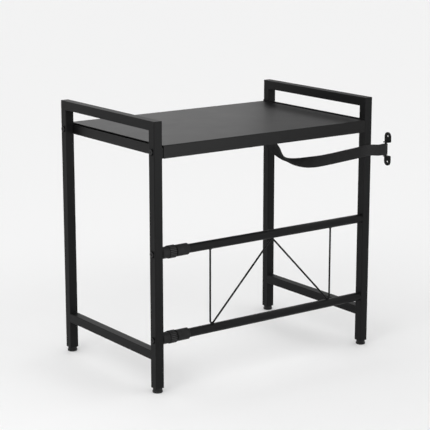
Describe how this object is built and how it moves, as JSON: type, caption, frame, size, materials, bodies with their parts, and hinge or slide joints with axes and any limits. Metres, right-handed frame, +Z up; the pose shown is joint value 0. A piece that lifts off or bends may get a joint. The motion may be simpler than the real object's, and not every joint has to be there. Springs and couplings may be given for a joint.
{
  "type": "microwave shelf",
  "caption": "Width-adjustable microwave shelf: black square-tube side frames, sliding sheet-steel top, telescopic rods with twist locks, bracing wire and anti-tip strap.",
  "frame": {"origin": "on the floor under the middle of the closed shelf", "axes": "+X along the width towards the right frame, -Y towards the side with the rods, +Z up"},
  "size_m": [0.6324, 0.3762, 0.57],
  "materials": {
    "frame_paint": "satin black powder coat",
    "tray_paint": "smooth matte black coat",
    "lock_plastic": "matte black moulded plastic",
    "inner_plastic": "plain moulded nylon",
    "bare_steel": "zinc-plated tube",
    "black_fasteners": "black oxide",
    "foot_plastic": "matte black plastic",
    "webbing": "woven black webbing"
  },
  "bodies": {
    "right_frame": {"lower_collar": "lock_plastic", "lower_collet": "inner_plastic", "lower_outer_rod": "frame_paint", "lower_right_plug": "inner_plastic", "right_far_leg": "frame_paint", "right_foot_inserts": "inner_plastic", "right_handle_rail": "frame_paint", "right_lower_rail": "frame_paint", "right_near_leg": "frame_paint", "right_rod_screws": "black_fasteners", "right_tray_nuts": "black_fasteners", "right_tray_screws": "black_fasteners", "strap": "webbing", "strap_nut": "black_fasteners", "strap_screw": "black_fasteners", "strap_tab": "frame_paint", "truss_wire": "frame_paint", "upper_collar": "lock_plastic", "upper_collet": "inner_plastic", "upper_outer_rod": "frame_paint", "upper_right_plug": "inner_plastic", "upper_tray": "tray_paint", "wall_bracket": "frame_paint"},
    "left_frame": {"left_near_leg": "frame_paint", "left_far_leg": "frame_paint", "left_handle_rail": "frame_paint", "left_lower_rail": "frame_paint", "left_tray_screws": "black_fasteners", "left_tray_nuts": "black_fasteners", "left_rod_screws": "black_fasteners", "left_foot_inserts": "inner_plastic", "upper_inner_rod": "bare_steel", "lower_inner_rod": "bare_steel", "upper_guide_bush": "inner_plastic", "lower_guide_bush": "inner_plastic", "upper_left_plug": "inner_plastic", "lower_left_plug": "inner_plastic", "lower_tray": "tray_paint", "tray_glides": "inner_plastic"},
    "upper_lock_nut": {"upper_lock_nut": "lock_plastic"},
    "lower_lock_nut": {"lower_lock_nut": "lock_plastic"},
    "near_left_foot": {"near_left_foot": "foot_plastic"},
    "far_left_foot": {"far_left_foot": "foot_plastic"},
    "near_right_foot": {"near_right_foot": "foot_plastic"},
    "far_right_foot": {"far_right_foot": "foot_plastic"}
  },
  "joints": [
    {"name": "width_slide", "type": "slide", "parent": "right_frame", "child": "left_frame", "axis": [-1, 0, 0], "range_m": [0, 0.18]},
    {"name": "upper_lock_nut_turn", "type": "hinge", "parent": "right_frame", "child": "upper_lock_nut", "pos_m": [-0.24, -0.1725, 0.296], "axis": [1, 0, 0], "range_deg": [0, 180]},
    {"name": "lower_lock_nut_turn", "type": "hinge", "parent": "right_frame", "child": "lower_lock_nut", "pos_m": [-0.24, -0.1725, 0.114], "axis": [1, 0, 0], "range_deg": [0, 180]},
    {"name": "near_left_foot_level", "type": "slide", "parent": "left_frame", "child": "near_left_foot", "axis": [0, 0, -1], "range_m": [0, 0.01]},
    {"name": "far_left_foot_level", "type": "slide", "parent": "left_frame", "child": "far_left_foot", "axis": [0, 0, -1], "range_m": [0, 0.01]},
    {"name": "near_right_foot_level", "type": "slide", "parent": "right_frame", "child": "near_right_foot", "axis": [0, 0, -1], "range_m": [0, 0.01]},
    {"name": "far_right_foot_level", "type": "slide", "parent": "right_frame", "child": "far_right_foot", "axis": [0, 0, -1], "range_m": [0, 0.01]}
  ]
}
